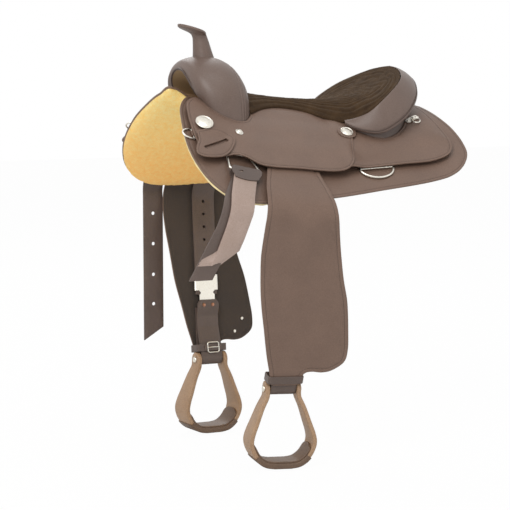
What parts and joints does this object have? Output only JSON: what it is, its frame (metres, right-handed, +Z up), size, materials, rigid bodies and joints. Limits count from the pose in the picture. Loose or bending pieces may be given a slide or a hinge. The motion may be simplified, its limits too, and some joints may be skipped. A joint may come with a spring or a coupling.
{
  "type": "western saddle",
  "caption": "Western riding saddle with a horn, a quilted suede seat, a fleece lining, fenders and hanging stirrups.",
  "frame": {"origin": "the top of the open channel along the horse's spine, in the saddle's middle plane, where the saddle rests on the horse", "axes": "-X towards the horn, +X towards the cantle, -Y the near side (the horse's left), +Y the off side, +Z up"},
  "size_m": [0.6804, 0.6053, 0.9296],
  "materials": {
    "brown_cover": "smooth grey-brown synthetic leather, satin",
    "dark_leather": "dark brown strap leather, satin",
    "brown_suede": "dark brown suede, matt, quilted",
    "golden_fleece": "golden clipped fleece, matt",
    "pale_wood": "pale wood tree, hidden",
    "tan_stirrup": "tan brown moulded stirrup, satin",
    "nickel": "satin nickel plate"
  },
  "bodies": {
    "tree": {"near_tree_bar": "pale_wood", "near_side_jockey": "brown_cover", "near_rear_jockey": "brown_cover", "near_skirt": "brown_cover", "near_fleece": "golden_fleece", "near_latigo_keeper": "dark_leather", "near_front_concho": "nickel", "near_rear_concho": "nickel", "near_fork_screw": "nickel", "near_string_clip": "nickel", "near_front_dee": "nickel", "off_tree_bar": "pale_wood", "off_side_jockey": "brown_cover", "off_rear_jockey": "brown_cover", "off_skirt": "brown_cover", "off_fleece": "golden_fleece", "off_latigo_keeper": "dark_leather", "off_front_concho": "nickel", "off_rear_concho": "nickel", "off_fork_screw": "nickel", "off_string_clip": "nickel", "off_front_dee": "nickel", "fork": "brown_cover", "horn": "brown_cover", "cantle_board": "pale_wood", "ground_seat": "pale_wood", "seat_cover": "brown_suede", "cantle_roll": "brown_cover", "cantle_back": "brown_cover"},
    "near_fender": {"near_fender": "brown_cover", "near_stirrup_leather": "dark_leather", "near_lower_leather": "dark_leather", "near_blevins_plate": "nickel", "near_hobble_strap": "dark_leather", "near_hobble_buckle": "nickel"},
    "near_sleeve": {"near_blevins_sleeve": "nickel"},
    "near_prong": {"near_hobble_prong": "nickel"},
    "near_stirrup": {"near_stirrup": "tan_stirrup", "near_stirrup_tread": "dark_leather", "near_stirrup_bolt": "nickel"},
    "near_rear_dee": {"near_rear_dee": "nickel"},
    "near_breast_dee": {"near_breast_dee": "nickel"},
    "near_string_ring": {"near_string_ring": "nickel"},
    "off_fender": {"off_fender": "brown_cover", "off_stirrup_leather": "dark_leather", "off_lower_leather": "dark_leather", "off_blevins_plate": "nickel", "off_hobble_strap": "dark_leather", "off_hobble_buckle": "nickel"},
    "off_sleeve": {"off_blevins_sleeve": "nickel"},
    "off_prong": {"off_hobble_prong": "nickel"},
    "off_stirrup": {"off_stirrup": "tan_stirrup", "off_stirrup_tread": "dark_leather", "off_stirrup_bolt": "nickel"},
    "off_rear_dee": {"off_rear_dee": "nickel"},
    "off_breast_dee": {"off_breast_dee": "nickel"},
    "off_string_ring": {"off_string_ring": "nickel"},
    "near_latigo": {"near_latigo": "dark_leather"},
    "off_billet": {"off_billet": "dark_leather"}
  },
  "joints": [
    {"name": "near_fender_swing", "type": "hinge", "parent": "tree", "child": "near_fender", "pos_m": [-0.08, -0.08963, -0.01413], "axis": [0.112, -0.4717, 0.8746], "range_deg": [-1.5, 4]},
    {"name": "near_sleeve_slide", "type": "slide", "parent": "near_fender", "child": "near_sleeve", "axis": [-0.0552, 0.2281, -0.9721], "range_m": [-0.04, 0]},
    {"name": "near_prong_turn", "type": "hinge", "parent": "near_fender", "child": "near_prong", "pos_m": [-0.12484, -0.18601, -0.53868], "axis": [0.0006, -0.2211, 0.9753], "range_deg": [0, 70]},
    {"name": "near_stirrup_swing", "type": "hinge", "parent": "near_fender", "child": "near_stirrup", "pos_m": [-0.11596, -0.19632, -0.56733], "axis": [-0.9903, 0.1356, 0.0313], "range_deg": [-45, 45]},
    {"name": "near_rear_dee_swing", "type": "hinge", "parent": "tree", "child": "near_rear_dee", "pos_m": [0.1, -0.20331, -0.10898], "axis": [-0.9986, 0.0202, -0.0487], "range_deg": [0, 20]},
    {"name": "near_breast_dee_swing", "type": "hinge", "parent": "tree", "child": "near_breast_dee", "pos_m": [-0.302, -0.16407, -0.03005], "axis": [0, 0.719, 0.695], "range_deg": [0, 42]},
    {"name": "near_string_ring_swing", "type": "hinge", "parent": "tree", "child": "near_string_ring", "pos_m": [0.23456, -0.11684, -0.01091], "axis": [-0.8876, -0.3557, -0.2925], "range_deg": [0, 150]},
    {"name": "off_fender_swing", "type": "hinge", "parent": "tree", "child": "off_fender", "pos_m": [-0.08, 0.08963, -0.01413], "axis": [-0.112, -0.4717, -0.8746], "range_deg": [-1.5, 4]},
    {"name": "off_sleeve_slide", "type": "slide", "parent": "off_fender", "child": "off_sleeve", "axis": [-0.0552, -0.2281, -0.9721], "range_m": [-0.04, 0]},
    {"name": "off_prong_turn", "type": "hinge", "parent": "off_fender", "child": "off_prong", "pos_m": [-0.12484, 0.18601, -0.53868], "axis": [-0.0006, -0.2211, -0.9753], "range_deg": [0, 70]},
    {"name": "off_stirrup_swing", "type": "hinge", "parent": "off_fender", "child": "off_stirrup", "pos_m": [-0.11596, 0.19632, -0.56733], "axis": [0.9903, 0.1356, -0.0313], "range_deg": [-45, 45]},
    {"name": "off_rear_dee_swing", "type": "hinge", "parent": "tree", "child": "off_rear_dee", "pos_m": [0.1, 0.20331, -0.10898], "axis": [0.9986, 0.0202, 0.0487], "range_deg": [0, 20]},
    {"name": "off_breast_dee_swing", "type": "hinge", "parent": "tree", "child": "off_breast_dee", "pos_m": [-0.302, 0.16407, -0.03005], "axis": [0, 0.719, -0.695], "range_deg": [0, 42]},
    {"name": "off_string_ring_swing", "type": "hinge", "parent": "tree", "child": "off_string_ring", "pos_m": [0.23456, 0.11684, -0.01091], "axis": [0.8876, -0.3557, 0.2925], "range_deg": [0, 150]},
    {"name": "near_latigo_swing", "type": "hinge", "parent": "tree", "child": "near_latigo", "pos_m": [-0.212, -0.22792, -0.10476], "axis": [-0.9771, 0.0268, 0.2112], "range_deg": [0, 60]},
    {"name": "off_billet_swing", "type": "hinge", "parent": "tree", "child": "off_billet", "pos_m": [-0.212, 0.22792, -0.10476], "axis": [0.9771, 0.0268, -0.2112], "range_deg": [0, 60]}
  ]
}
